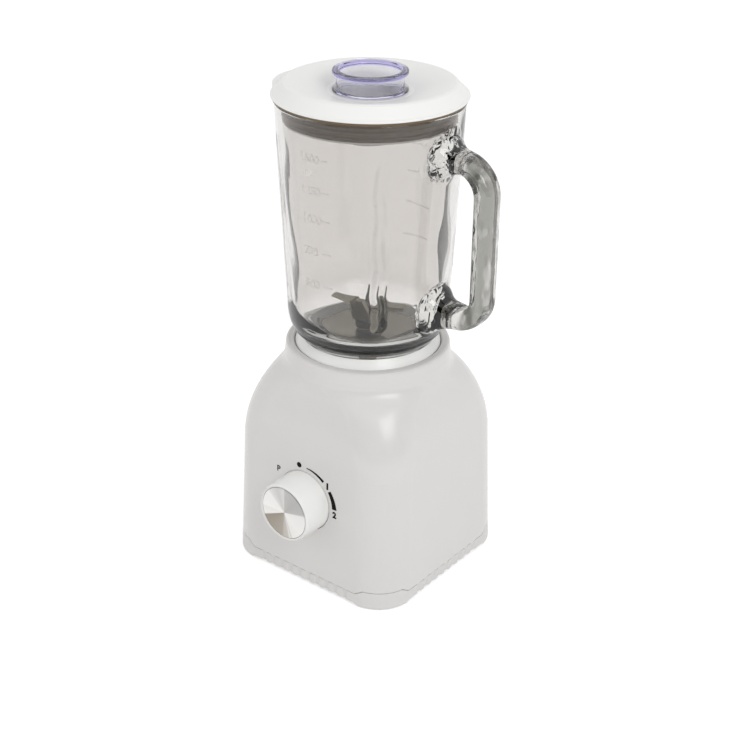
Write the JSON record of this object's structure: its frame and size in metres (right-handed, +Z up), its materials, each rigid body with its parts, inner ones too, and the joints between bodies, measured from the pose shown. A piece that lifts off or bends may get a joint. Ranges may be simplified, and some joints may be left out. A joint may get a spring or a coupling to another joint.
{
  "type": "countertop blender",
  "caption": "Countertop blender with a square motor base, front dial, tapered glass jar with handle and spout, and a lid with a measuring cap.",
  "frame": {"origin": "on the drive axis, at worktop level under the base", "axes": "+Z up along the drive axis; -Y towards the dial on the front; +X towards the jar's handle"},
  "size_m": [0.1899, 0.185, 0.39],
  "materials": {
    "white_housing_plastic": "moulded ABS, satin gloss",
    "tray_plastic": "moulded ABS, fine matt",
    "white_knob_plastic": "moulded ABS, gloss",
    "white_ring_plastic": "moulded, satin",
    "white_lid_plastic": "moulded, satin",
    "carrier_steel": "pressed stainless steel, polished",
    "dark_switch_plastic": "moulded, matt",
    "violet_clear_plastic": "clear moulded plastic with a violet tint",
    "clear_glass": "pressed clear glass",
    "spun_aluminium": "spun, radial sheen",
    "cast_aluminium": "die cast",
    "zinc_steel": "zinc plated",
    "spring_steel": "drawn wire",
    "bearing_steel": "ground",
    "blade_steel": "stamped stainless, ground edges",
    "dark_steel": "dark stainless",
    "lamination_steel": "stacked laminations",
    "copper_wire": "enamelled copper wire",
    "commutator_copper": "turned copper",
    "bush_bronze": "sintered bronze",
    "brush_carbon": "pressed carbon",
    "black_rubber": "moulded",
    "white_rubber": "moulded",
    "grey_silicone": "moulded silicone, brown grey"
  },
  "bodies": {
    "base": {"motor_housing": "white_housing_plastic", "bottom_tray": "tray_plastic", "tray_screws": "zinc_steel", "rubber_foot_1": "white_rubber", "rubber_foot_2": "white_rubber", "rubber_foot_3": "white_rubber", "rubber_foot_4": "white_rubber", "switch_body": "dark_switch_plastic", "switch_nut": "zinc_steel", "cord_inlet_gland": "tray_plastic", "interlock_spring": "spring_steel", "stator_core": "lamination_steel", "field_coils": "copper_wire", "lower_bearing": "bearing_steel", "upper_bearing": "bearing_steel", "upper_motor_bracket": "cast_aluminium", "lower_motor_bracket": "cast_aluminium", "brush_holder_left": "dark_switch_plastic", "brush_holder_right": "dark_switch_plastic", "carbon_brush_left": "brush_carbon", "carbon_brush_right": "brush_carbon", "stator_bolts": "zinc_steel", "motor_mount_screws": "zinc_steel", "motor_dampers": "black_rubber", "interlock_switch": "dark_switch_plastic"},
    "dial": {"knob": "white_knob_plastic", "knob_insert": "spun_aluminium", "switch_shaft": "bearing_steel"},
    "rotor": {"motor_shaft": "bearing_steel", "armature_core": "lamination_steel", "armature_winding": "copper_wire", "commutator": "commutator_copper", "cooling_fan": "dark_switch_plastic", "drive_coupling": "black_rubber"},
    "plunger": {"interlock_pin": "tray_plastic"},
    "jar": {"glass_jar": "clear_glass", "jar_handle": "clear_glass", "jar_ring": "white_ring_plastic", "jar_gasket": "grey_silicone", "blade_carrier": "carrier_steel", "blade_bush": "bush_bronze"},
    "blades": {"blade_shaft": "bearing_steel", "driven_coupling": "zinc_steel", "blade_spacer": "dark_steel", "lower_blade": "blade_steel", "upper_blade": "blade_steel", "blade_washer": "dark_steel", "blade_nut": "dark_steel"},
    "lid": {"lid": "white_lid_plastic", "lid_gasket": "grey_silicone"},
    "cap": {"measuring_cap": "violet_clear_plastic"}
  },
  "joints": [
    {"name": "dial_turn", "type": "hinge", "parent": "base", "child": "dial", "pos_m": [0, -0.085, 0.0735], "axis": [0, 1, 0], "range_deg": [-44, 106]},
    {"name": "motor_spin", "type": "hinge", "parent": "base", "child": "rotor", "pos_m": [0, 0, 0.084], "axis": [0, 0, 1], "continuous": true},
    {"name": "jar_lift", "type": "slide", "parent": "base", "child": "jar", "axis": [0, 0, 1], "range_m": [0, 0.1]},
    {"name": "blade_spin", "type": "hinge", "parent": "jar", "child": "blades", "pos_m": [0, 0, 0.2], "axis": [0, 0, 1], "continuous": true},
    {"name": "lid_lift", "type": "slide", "parent": "jar", "child": "lid", "axis": [0, 0, 1], "range_m": [0, 0.06]},
    {"name": "cap_lift", "type": "slide", "parent": "lid", "child": "cap", "axis": [0, 0, 1], "range_m": [0, 0.07]},
    {"name": "interlock_travel", "type": "slide", "parent": "base", "child": "plunger", "axis": [0, 0, 1], "range_m": [0, 0.003], "deforming": ["interlock_spring"]}
  ],
  "couplings": [
    {"joint": "blade_spin", "follows": "motor_spin", "ratio": 1},
    {"joint": "interlock_travel", "follows": "jar_lift", "ratio": 0.03}
  ]
}
